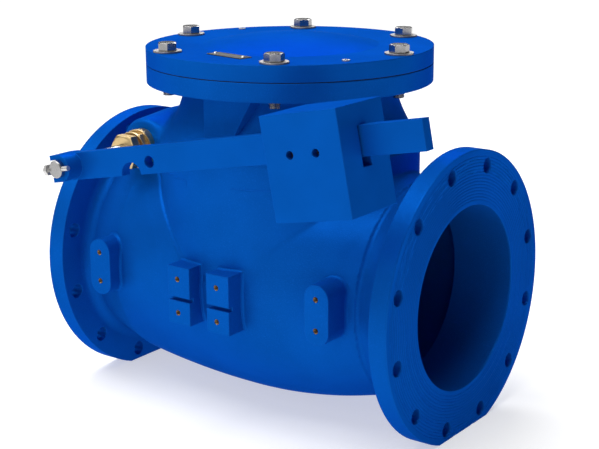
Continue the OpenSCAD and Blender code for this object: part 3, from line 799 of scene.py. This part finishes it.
PAD_W = 45 * MM
PAD_H = 98 * MM
PAD_HOLE_R = 4.75 * MM
OVAL_PADS = (MID_X - 238.5 * MM, MID_X + 215.4 * MM)
OVAL_Z, OVAL_FACE, OVAL_HOLES, OVAL_SHIFT = 8 * MM, 230 * MM, 50.8 * MM, (-1 * MM, 0.0)
SLOT_PADS = (MID_X - 43.5 * MM, MID_X + 37.6 * MM)
SLOT_Z, SLOT_FACE, SLOT_HOLES, SLOT_SHIFT = -2.5 * MM, 251 * MM, 57.2 * MM, (-2.5 * MM, -0.9 * MM)


def below_line(r, z, a, b):
    """Distance outside the line from a to b, where the solid lies to the left of a to b."""
    dr, dz = b[0] - a[0], b[1] - a[1]
    size = math.hypot(dr, dz)
    return ((r - a[0]) * dz - (z - a[1]) * dr) / size


def barrel_field(p):
    """Distance of points outside the barrel, and outside its outlet half with no fillet at the hub."""
    x, r = p[:, 0], np.hypot(p[:, 1], p[:, 2])
    belly_in = np.hypot(r - (BARREL_R - BELLY_IN_R), x - MID_X) - BELLY_IN_R
    belly_out = np.hypot(r - (BARREL_R - BELLY_OUT_R), x - MID_X) - BELLY_OUT_R
    rise = BELLY_IN_R - math.sqrt(BELLY_IN_R**2 - (MID_X - SHOULDER_X) ** 2)
    cone = below_line(r, x, (HUB_IN_R, HUB_IN_X), (BARREL_R - rise, SHOULDER_X))
    belly_out = np.maximum(belly_out, x - HUB_OUT_X)
    rise_out = FLARE_R - np.sqrt(np.clip(FLARE_R**2 - np.clip(x - HUB_OUT_X, 0, None) ** 2, 0, None))
    hub = np.where(x < HUB_OUT_X - FLARE_R / 2, 1.0, r - HUB_OUT_R - rise_out)
    outlet = soft_union(belly_out, hub, HUB_FILLET)
    return np.where(x < MID_X, np.maximum(belly_in, cone), outlet), np.minimum(belly_out, hub)


def bowl_field(p):
    """Distance outside the upright bowl with its cone, which runs into the neck."""
    z, r = p[:, 2], np.hypot(p[:, 0] - MID_X, p[:, 1])
    wall = r - BOWL_R
    foot = below_line(r, z, (BOWL_R - BOWL_FOOT_IN, WALL_Z_LOW), (BOWL_R, BOWL_FOOT_TOP))
    cone = below_line(r, z, (BOWL_R, BOWL_TOP_Z), (NECK_R, NECK_Z))
    bowl = np.maximum.reduce([wall, foot, cone, WALL_Z_LOW - z])
    neck = np.maximum.reduce([r - NECK_R, z - JOINT_Z, WALL_Z_LOW - z])
    return bowl, neck


def boss_field(p):
    """Distance outside the tapered shaft housing."""
    across = np.abs(p[:, 1])
    r = np.hypot(p[:, 0] - SHAFT_X, p[:, 2] - SHAFT_Z)
    side = below_line(r, across, (BOSS_MID_R, BOSS_MID_HALF), (BOSS_R, BOSS_HALF - BOSS_ROUND))
    corner_r, corner_y = r - (BOSS_R - BOSS_ROUND), across - (BOSS_HALF - BOSS_ROUND)
    corner = np.hypot(np.maximum(corner_r, 0), np.maximum(corner_y, 0)) - BOSS_ROUND
    body = np.maximum.reduce([side, r - BOSS_MID_R, across - BOSS_HALF])
    return np.where((corner_r > 0) & (corner_y > 0), corner, body)


def bonnet_field(p):
    """Distance outside the flange under the cover."""
    r = np.hypot(p[:, 0] - MID_X, p[:, 1])
    return np.maximum(r - BONNET_R, np.abs(p[:, 2] - (JOINT_Z - BONNET_T / 2)) - BONNET_T / 2)


def slope(field, p, step=0.4 * MM):
    """Gradient of a field at points."""
    parts = []
    for axis in range(3):
        shift = np.zeros(3)
        shift[axis] = step
        parts.append((field(p + shift) - field(p - shift)) / (2 * step))
    return np.stack(parts, 1)


def soft_union(a, b, size):
    """Smaller of two distances, with a fillet of about size where they meet."""
    gap = np.clip(size - np.abs(a - b), 0, None) / size
    return np.minimum(a, b) - gap**2 * size / 4


def lip_field(p, barrel, bowl):
    """Distance outside the low swell of the barrel, which ends in a step where the bowl starts."""
    past = (barrel - bowl) / LIP_SPREAD
    fade = np.clip((p[:, 2] + LIP_LOW) / LIP_L, 0, 1)
    swell = LIP_H * fade * np.clip(1 + past / LIP_L, 0, 1) ** 2
    step = -soft_union(swell - barrel, -past, LIP_ROUND)
    return np.where((p[:, 0] < MID_X) & (past > -LIP_L) & (fade > 0), step, barrel)


def casting_field(p, fillet):
    """Distance outside the filleted casting, and outside the same casting with no fillets."""
    bowl, neck = bowl_field(p)
    upright = soft_union(bowl, neck, fillet * NECK_SHARE)
    barrel, sharp_outlet = barrel_field(p)
    boss, bonnet = boss_field(p), bonnet_field(p)
    inlet = p[:, 0] < MID_X
    swollen = np.minimum(barrel, lip_field(p, barrel, bowl))
    hull = soft_union(swollen, upright, fillet * np.where(inlet, CREASE_IN_SHARE, CREASE_OUT_SHARE))
    filleted = soft_union(soft_union(hull, boss, fillet), bonnet, fillet * BONNET_SHARE)
    plain = np.minimum.reduce([bowl, neck, np.where(inlet, barrel, sharp_outlet), boss, bonnet])
    return filleted, plain


def surface_net(field, low, high, step):
    """Vertices and quads of a field's zero surface on a grid, one vertex in each cell that it crosses."""
    counts = [int(math.ceil((h - l) / step)) + 1 for l, h in zip(low, high)]
    axes = [l + step * np.arange(n) for l, n in zip(low, counts)]
    places = np.stack(np.meshgrid(*axes, indexing="ij"), -1).reshape(-1, 3)
    values = np.concatenate([field(part) for part in np.array_split(places, 16)]).reshape(counts)
    inside = values < 0
    cells = [n - 1 for n in counts]
    total, hits = np.zeros(cells + [3]), np.zeros(cells)
    corners = np.array([[i, j, k] for i in (0, 1) for j in (0, 1) for k in (0, 1)])
    for a in corners:
        for axis in range(3):
            if a[axis]:
                continue
            b = a.copy()
            b[axis] = 1
            va, vb = (values[tuple(slice(c, c + n) for c, n in zip(corner, cells))] for corner in (a, b))
            crosses = (va < 0) != (vb < 0)
            share = np.where(crosses, va / np.where(crosses, va - vb, 1), 0)
            for d in range(3):
                total[..., d] += crosses * (a[d] + share * (d == axis))
            hits += crosses
    used = hits > 0
    index = -np.ones(cells, int)
    index[used] = np.arange(used.sum())
    at = np.stack(np.nonzero(used), 1)
    verts = np.array(low) + step * (at + total[used] / hits[used][:, None])
    quads = []
    for axis in range(3):
        u, v = [d for d in range(3) if d != axis]
        ahead = [slice(None)] * 3
        behind = [slice(None)] * 3
        ahead[axis], behind[axis] = slice(1, None), slice(None, -1)
        change = inside[tuple(ahead)] != inside[tuple(behind)]
        edge = np.stack(np.nonzero(change), 1)
        edge = edge[(edge[:, u] > 0) & (edge[:, v] > 0) & (edge[:, u] < cells[u]) & (edge[:, v] < cells[v])]
        four = []
        for du, dv in ((0, 0), (1, 0), (1, 1), (0, 1)):
            cell = edge.copy()
            cell[:, u] -= du
            cell[:, v] -= dv
            four.append(index[tuple(cell.T)])
        four = np.stack(four, 1)
        leaving = inside[tuple(edge.T)]
        flip = leaving if axis != 1 else ~leaving
        four[~flip] = four[~flip][:, ::-1]
        quads.append(four)
    return verts, np.concatenate(quads)


class VALVE_OT_cast_fillets(bpy.types.Operator):
    """Lays cast fillets where the barrel, the bowl, the neck and the shaft housing meet"""

    bl_idname = "valve.cast_fillets"
    bl_label = "Cast fillets"

    LEAST = 0.12 * MM
    SKIN = 3.0 * MM
    SINK = 0.35 * MM

    def execute(self, context):
        s = settings().casting

        def outside(p):
            return casting_field(p, s.fillet)[0]

        verts, quads = surface_net(outside, NET_LOW, NET_HIGH, s.grid)
        for _ in range(3):
            grad = slope(outside, verts)
            verts = verts - grad * (outside(verts) / np.maximum((grad**2).sum(1), 0.25))[:, None]
        raised = casting_field(verts, s.fillet)[1]
        shown = (raised > self.LEAST) & (verts[:, 2] < JOINT_Z - BONNET_T + 2 * MM)
        quads = quads[shown[quads].any(1)]
        keep = np.unique(quads)
        number = -np.ones(len(verts), int)
        number[keep] = np.arange(len(keep))
        verts, quads, raised = verts[keep], number[quads], raised[keep]
        grad = slope(outside, verts)
        normals = grad / np.linalg.norm(grad, axis=1)[:, None]
        outer = verts - normals * np.where(raised > self.LEAST, 0.0, self.SINK)[:, None]
        inner = outer - normals * self.SKIN
        count = len(outer)
        faces = [tuple(q) for q in quads] + [tuple(q[::-1] + count) for q in quads]
        edges = {(a, b): True for q in quads for a, b in zip(q, np.roll(q, -1))}
        for a, b in edges:
            if (b, a) not in edges:
                faces.append((b, a, a + count, b + count))
        obj = new_piece("cast_fillets", np.concatenate([outer, inner]), faces,
                        blue_epoxy("blue_epoxy_body"), "housing", "blue_coating")
        obj.data.normals_split_custom_set_from_vertices(
            [tuple(n) for n in np.concatenate([normals, -normals])])
        return {"FINISHED"}


class VALVE_OT_parting_line(bpy.types.Operator):
    """Lays the fine raised lines on the lever side of the bowl"""

    bl_idname = "valve.parting_line"
    bl_label = "Raised lines"

    HEIGHT = 182 * MM
    STEP = 9 * MM
    BEAD = 1.1 * MM
    SINK = 0.4 * MM
    SIDES = 10

    def path(self, start, end, hook):
        """Angles from the front, in degrees, and heights along a line, which may turn down at its end."""
        points = [(a, self.HEIGHT) for a in np.linspace(start, end, 25)]
        if hook:
            points += [(end + 0.3, self.HEIGHT - self.STEP * share) for share in (0.35, 0.7, 1.0)]
        return points

    def execute(self, context):
        parts = []
        for start, end, hook in ((-33, -14, True), (11, 31, False)):
            centres, outs = [], []
            for degrees, z in self.path(start, end, hook):
                a = math.radians(degrees)
                out = np.array([math.sin(a), -math.cos(a), 0])
                outs.append(out)
                centres.append(np.array([MID_X, 0, z]) + out * (BOWL_R - self.SINK))
            verts = []
            for i, (centre, out) in enumerate(zip(centres, outs)):
                along = centres[min(i + 1, len(centres) - 1)] - centres[max(i - 1, 0)]
                side = np.cross(along / np.linalg.norm(along), out)
                for k in range(self.SIDES):
                    turn = 2 * math.pi * k / self.SIDES
                    verts.append(centre + self.BEAD * (math.cos(turn) * side + math.sin(turn) * out))
            parts.append((np.array(verts), tube_faces(len(centres), self.SIDES)))
        new_piece("parting_line", *merged(parts), blue_epoxy("blue_epoxy_body"), "housing", "blue_coating")
        return {"FINISHED"}


def pad_outline(corner, x, z):
    """Points around a pad with their outward directions, in the upright plane."""
    half_w, half_h = PAD_W / 2 - corner, PAD_H / 2 - corner
    corners = ((1, 1), (-1, 1), (-1, -1), (1, -1))
    middles = [np.array((x + sx * half_w, z + sz * half_h)) for sx, sz in corners]
    points, ways = [], []
    for quarter, middle in enumerate(middles):
        for a in np.radians(90 * quarter + np.linspace(0, 90, 13)):
            ways.append(np.array((math.cos(a), math.sin(a))))
            points.append(middle + corner * ways[-1])
        ahead = middles[(quarter + 1) % 4] - middle
        start = points[-1]
        for share in (0.2, 0.4, 0.6, 0.8):
            ways.append(ways[-1])
            points.append(start + share * ahead)
    return np.array(points), np.array(ways)


def wall_depth(x, z, fillet):
    """How far the casting's wall stands from the pipe's middle plane on the lever side, at points."""
    near, far = np.full(len(x), 120 * MM), np.full(len(x), 262 * MM)
    for _ in range(18):
        middle = (near + far) / 2
        outside = casting_field(np.stack([x, -middle, z], 1), fillet)[0] > 0
        near, far = np.where(outside, near, middle), np.where(outside, middle, far)
    return (near + far) / 2


class VALVE_OT_pad_fillets(bpy.types.Operator):
    """Lays a fillet around the foot of each pad"""

    bl_idname = "valve.pad_fillets"
    bl_label = "Pad fillets"

    SINK = 2 * MM

    def execute(self, context):
        s = settings().casting
        pads = [(PAD_W / 2, x, OVAL_Z) for x in OVAL_PADS] + [(1.5 * MM, x, SLOT_Z) for x in SLOT_PADS]
        parts = []
        for corner, x, z in pads:
            points, ways = pad_outline(corner, x, z)
            rows = [(s.pad_fillet * (1 - math.sin(a)), s.pad_fillet * (1 - math.cos(a)))
                    for a in np.radians(np.linspace(0, 90, 7))]
            rows += [(-self.SINK, s.pad_fillet), (-self.SINK, -self.SINK), (s.pad_fillet, -self.SINK)]
            verts = []
            for out, up in rows:
                at = points + ways * out
                depth = wall_depth(at[:, 0], at[:, 1], s.fillet) + up
                verts.append(np.stack([at[:, 0], -depth, at[:, 1]], 1))
            faces = grid_faces(len(rows), len(points), flip=True)
            last = (len(rows) - 1) * len(points)
            for k in range(len(points)):
                m = (k + 1) % len(points)
                faces.append((last + m, last + k, k, m)[::-1])
            parts.append((np.concatenate(verts), faces))
        coat = blue_epoxy("blue_epoxy_body")
        crisp(new_piece("pad_fillets", *merged(parts), coat, "housing", "blue_coating"), 60)
        return {"FINISHED"}


class VALVE_OT_tapped_threads(bpy.types.Operator):
    """Cuts the look of threads in the eight tapped holes of the pads"""

    bl_idname = "valve.tapped_threads"
    bl_label = "Tapped threads"

    DEPTH = 19 * MM
    PITCH = 1.4 * MM
    TOOTH = 0.75 * MM
    WALL = 0.5 * MM

    def sleeve(self, x, face, z, steps=28):
        """A threaded tube that lines one hole, from its mouth inwards."""
        along = np.arange(0.6 * MM, self.DEPTH, self.PITCH / 6)
        turn, depth = np.meshgrid(np.arange(steps) / steps, along)
        lead = np.clip(depth / (2 * self.PITCH), 0, 1)
        inner = PAD_HOLE_R - self.TOOTH * lead * (1 - thread_wave(depth / self.PITCH - turn))
        outer = np.full(steps, PAD_HOLE_R + self.WALL)
        radii = np.vstack([inner, outer, outer])
        turns = np.vstack([turn, turn[:1], turn[:1]])
        depths = np.vstack([depth, depth[-1:], depth[:1]])
        verts = np.stack([x + radii * np.cos(2 * math.pi * turns), -face + depths,
                          z + radii * np.sin(2 * math.pi * turns)], -1).reshape(-1, 3)
        rows = len(radii)
        faces = grid_faces(rows, steps)
        last = (rows - 1) * steps
        for k in range(steps):
            m = (k + 1) % steps
            faces.append((last + k, last + m, m, k))
        return verts, faces

    def execute(self, context):
        parts = []
        for pads, z, face, pitch, shift in ((OVAL_PADS, OVAL_Z, OVAL_FACE, OVAL_HOLES, OVAL_SHIFT),
                                            (SLOT_PADS, SLOT_Z, SLOT_FACE, SLOT_HOLES, SLOT_SHIFT)):
            for x in pads:
                for side in (-1, 1):
                    parts.append(self.sleeve(x + shift[0], face, z + shift[1] + side * pitch / 2))
        metal = bare_metal("tapped_iron", (0.42, 0.27, 0.13), 0.42, darkest=0.6, lightest=1.3)
        new_piece("tapped_threads", *merged(parts), metal, "housing")
        return {"FINISHED"}


# --- studio ---


def add_light(name, power, size, place, aim):
    """A soft rectangular light at a place, turned to a point."""
    data = bpy.data.lights.new(name, "AREA")
    data.shape = "RECTANGLE"
    data.size, data.size_y = size
    data.energy = power
    obj = bpy.data.objects.new(name, data)
    obj.location = place
    obj.rotation_euler = (Vector(aim) - Vector(place)).to_track_quat("-Z", "Y").to_euler()
    bpy.context.scene.collection.objects.link(obj)


class VALVE_OT_build_stage(bpy.types.Operator):
    """Builds the pale floor, the soft lights and the camera"""

    bl_idname = "valve.build_stage"
    bl_label = "Build the stage"

    FLOOR_HALF = 30.0

    def execute(self, context):
        s = settings().stage
        scene = context.scene
        h = self.FLOOR_HALF
        mesh = bpy.data.meshes.new("floor")
        mesh.from_pydata([(-h, -h, FLOOR_Z), (h, -h, FLOOR_Z), (h, h, FLOOR_Z), (-h, h, FLOOR_Z)], [],
                         [(0, 1, 2, 3)])
        floor = bpy.data.objects.new("floor", mesh)
        scene.collection.objects.link(floor)
        paint = new_material("floor_paint", Roughness=0.9, Specular_IOR_Level=0.1,
                             Base_Color=(0.62, 0.62, 0.62, 1.0), Emission_Color=(1.0, 1.0, 1.0, 1.0),
                             Emission_Strength=s.floor_glow)
        mesh.materials.append(paint[0])

        world = scene.world or bpy.data.worlds.new("studio")
        scene.world = world
        world.use_nodes = True
        back = world.node_tree.nodes["Background"]
        back.inputs["Color"].default_value = (1.0, 1.0, 1.0, 1.0)
        back.inputs["Strength"].default_value = s.sky

        middle = Vector((MID_X, 0, 0.1))
        add_light("front_light", s.key_power, (2.4, 1.8), (0.2, -3.0, 1.5), middle)
        add_light("left_light", s.left_power, (1.6, 1.6), (-2.4, -1.0, 2.2), middle)
        add_light("back_light", s.back_power, (2.6, 1.2), (-1.1, 2.0, 2.3), middle)
        overhead = bpy.data.lights.new("overhead_light", "SUN")
        overhead.energy = s.sun
        overhead.angle = math.radians(50)
        sun = bpy.data.objects.new("overhead_light", overhead)
        sun.rotation_euler = (math.radians(14), math.radians(-10), 0)
        scene.collection.objects.link(sun)

        data = bpy.data.cameras.new("camera")
        data.lens = s.lens
        data.sensor_width = 36
        camera = bpy.data.objects.new("camera", data)
        scene.collection.objects.link(camera)
        level = math.cos(s.elevation)
        ahead = Vector((-math.sin(s.azimuth) * level, math.cos(s.azimuth) * level, -math.sin(s.elevation)))
        turned = ahead.to_track_quat("-Z", "Y") @ Quaternion((0, 0, 1), s.roll)
        camera.matrix_world = Matrix.Translation(s.camera) @ turned.to_matrix().to_4x4()
        scene.camera = camera
        scene.view_settings.view_transform = "Standard"
        return {"FINISHED"}


# --- panel and registration ---


class VALVE_PT_looks(bpy.types.Panel):
    """Sidebar panel with the valve's settings and steps"""

    bl_idname = "VALVE_PT_looks"
    bl_label = "Check valve"
    bl_space_type = "VIEW_3D"
    bl_region_type = "UI"
    bl_category = "Valve"

    def draw(self, context):
        looks = settings()
        for title in ("coating", "casting", "hardware", "stage"):
            box = self.layout.box()
            box.label(text=title.capitalize())
            group = getattr(looks, title)
            for key in group.bl_rna.properties.keys():
                if key not in ("rna_type", "name"):
                    box.prop(group, key)
        for step in STEPS:
            self.layout.operator(step.bl_idname)


STEPS = (
    VALVE_OT_finish_castings,
    VALVE_OT_finish_inside,
    VALVE_OT_finish_hinge,
    VALVE_OT_finish_lever,
    VALVE_OT_cover_bolts,
    VALVE_OT_nameplate,
    VALVE_OT_cast_fillets,
    VALVE_OT_parting_line,
    VALVE_OT_pad_fillets,
    VALVE_OT_tapped_threads,
    VALVE_OT_build_stage,
)
CLASSES = (CoatingSettings, CastingSettings, HardwareSettings, StageSettings, ValveSettings, *STEPS,
           VALVE_PT_looks)


def register():
    for item in CLASSES:
        bpy.utils.register_class(item)
    bpy.types.Scene.valve_looks = PointerProperty(type=ValveSettings)


def unregister():
    del bpy.types.Scene.valve_looks
    for item in reversed(CLASSES):
        bpy.utils.unregister_class(item)


def main():
    register()
    for step in STEPS:
        family, action = step.bl_idname.split(".")
        getattr(getattr(bpy.ops, family), action)()


if __name__ == "__main__":
    main()
